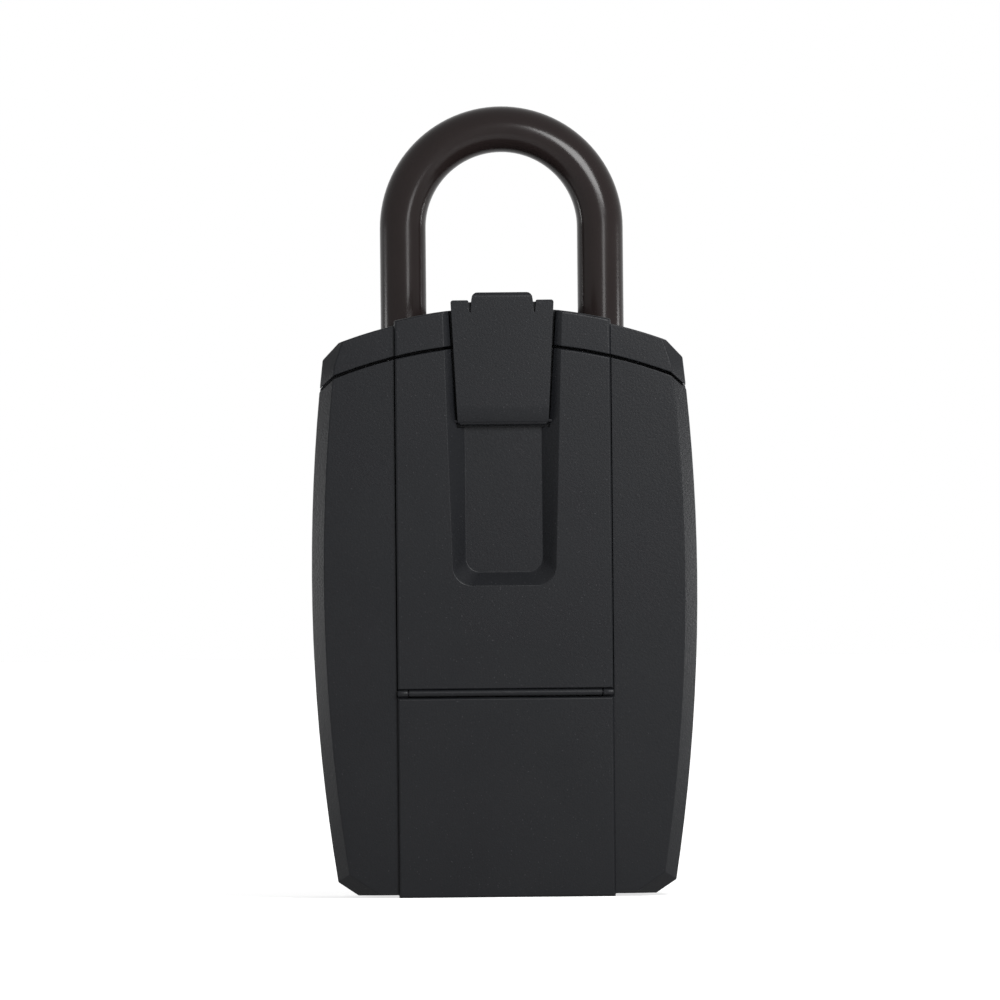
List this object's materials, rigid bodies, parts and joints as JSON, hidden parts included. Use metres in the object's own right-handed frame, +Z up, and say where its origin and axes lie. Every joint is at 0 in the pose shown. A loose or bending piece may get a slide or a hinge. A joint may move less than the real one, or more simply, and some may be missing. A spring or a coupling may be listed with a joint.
{
  "type": "key lock box",
  "caption": "Portable key lock box: shackle on top, hinged front door with combination dials under a flip-down cover, key compartment behind.",
  "frame": {"origin": "centre of the base, midway between the front of the dial cover's hinge and the face of the back pad", "axes": "+Z up along the shackle legs, -Y out of the front with the dial cover, +X to the viewer's right"},
  "size_m": [0.0802, 0.05, 0.1649],
  "materials": {
    "shell_black": "fine grained charcoal moulding",
    "case_black": "textured powder coat over a zinc casting",
    "zinc_casting": "bare die casting, clear lacquer",
    "shackle_steel": "hardened and bright plated",
    "sleeve_vinyl": "glossy brown-black vinyl",
    "seal_rubber": "matte",
    "pin_steel": "ground",
    "screw_steel": "dark zinc plate",
    "plated_steel": "bright zinc plate",
    "spring_steel": "drawn wire and strip",
    "lock_plate_metal": "satin black",
    "dial_plastic": "satin black, white figures",
    "dial_brass": "turned",
    "knob_plastic": "satin grey"
  },
  "bodies": {
    "housing": {"rear_case": "case_black", "case_gasket": "seal_rubber", "back_pad": "seal_rubber", "door_hinge_pin": "pin_steel", "lock_block": "zinc_casting", "block_screws": "screw_steel", "cap_screws": "screw_steel", "top_cap": "shell_black", "shackle_seals": "seal_rubber", "catch_spring": "spring_steel", "catch_plate": "plated_steel", "catch_plate_screws": "screw_steel"},
    "shackle": {"shackle_rod": "shackle_steel", "shackle_sleeve": "sleeve_vinyl", "heel_ring": "plated_steel"},
    "catch": {"shackle_catch": "plated_steel"},
    "front_door": {"front_shell": "shell_black", "lock_plate": "lock_plate_metal", "plate_screws": "screw_steel", "back_plate": "plated_steel", "back_plate_screws": "screw_steel", "dial_shaft": "pin_steel", "detent_spring": "spring_steel", "bolt_spring": "spring_steel", "cover_hinge_pin": "pin_steel"},
    "release": {"release_knob": "knob_plastic", "bolt_bar": "plated_steel", "gate_plate": "plated_steel"},
    "code_lever": {"code_lever": "knob_plastic"},
    "dial_cover": {"dial_cover": "shell_black", "cover_seal": "seal_rubber", "clip_pin": "pin_steel", "clip_spring": "spring_steel"},
    "clip": {"cover_clip": "shell_black"},
    "dial_1": {"dial_wheel_1": "dial_plastic", "dial_core_1": "dial_brass"},
    "dial_2": {"dial_wheel_2": "dial_plastic", "dial_core_2": "dial_brass"},
    "dial_3": {"dial_wheel_3": "dial_plastic", "dial_core_3": "dial_brass"},
    "dial_4": {"dial_wheel_4": "dial_plastic", "dial_core_4": "dial_brass"}
  },
  "joints": [
    {"name": "shackle_lift", "type": "slide", "parent": "housing", "child": "shackle", "axis": [0, 0, 1], "range_m": [0, 0.023]},
    {"name": "catch_slide", "type": "slide", "parent": "housing", "child": "catch", "axis": [1, 0, 0], "range_m": [0, 0.0025]},
    {"name": "door_hinge", "type": "hinge", "parent": "housing", "child": "front_door", "pos_m": [0, -0.003, 0.0024], "axis": [1, 0, 0], "range_deg": [0, 90]},
    {"name": "release_slide", "type": "slide", "parent": "front_door", "child": "release", "axis": [0, 0, 1], "range_m": [0, 0.005], "deforming": ["bolt_spring"]},
    {"name": "code_lever_slide", "type": "slide", "parent": "front_door", "child": "code_lever", "axis": [1, 0, 0], "range_m": [0, 0.006]},
    {"name": "cover_hinge", "type": "hinge", "parent": "front_door", "child": "dial_cover", "pos_m": [0, -0.0243, 0.0425], "axis": [1, 0, 0], "range_deg": [0, 130]},
    {"name": "clip_hinge", "type": "hinge", "parent": "dial_cover", "child": "clip", "pos_m": [0, -0.02295, 0.09905], "axis": [1, 0, 0], "range_deg": [0, 75]},
    {"name": "dial_1_turn", "type": "hinge", "parent": "front_door", "child": "dial_1", "pos_m": [0, -0.01425, 0.054], "axis": [1, 0, 0], "continuous": true},
    {"name": "dial_2_turn", "type": "hinge", "parent": "front_door", "child": "dial_2", "pos_m": [0, -0.01425, 0.054], "axis": [1, 0, 0], "continuous": true},
    {"name": "dial_3_turn", "type": "hinge", "parent": "front_door", "child": "dial_3", "pos_m": [0, -0.01425, 0.054], "axis": [1, 0, 0], "continuous": true},
    {"name": "dial_4_turn", "type": "hinge", "parent": "front_door", "child": "dial_4", "pos_m": [0, -0.01425, 0.054], "axis": [1, 0, 0], "continuous": true}
  ]
}
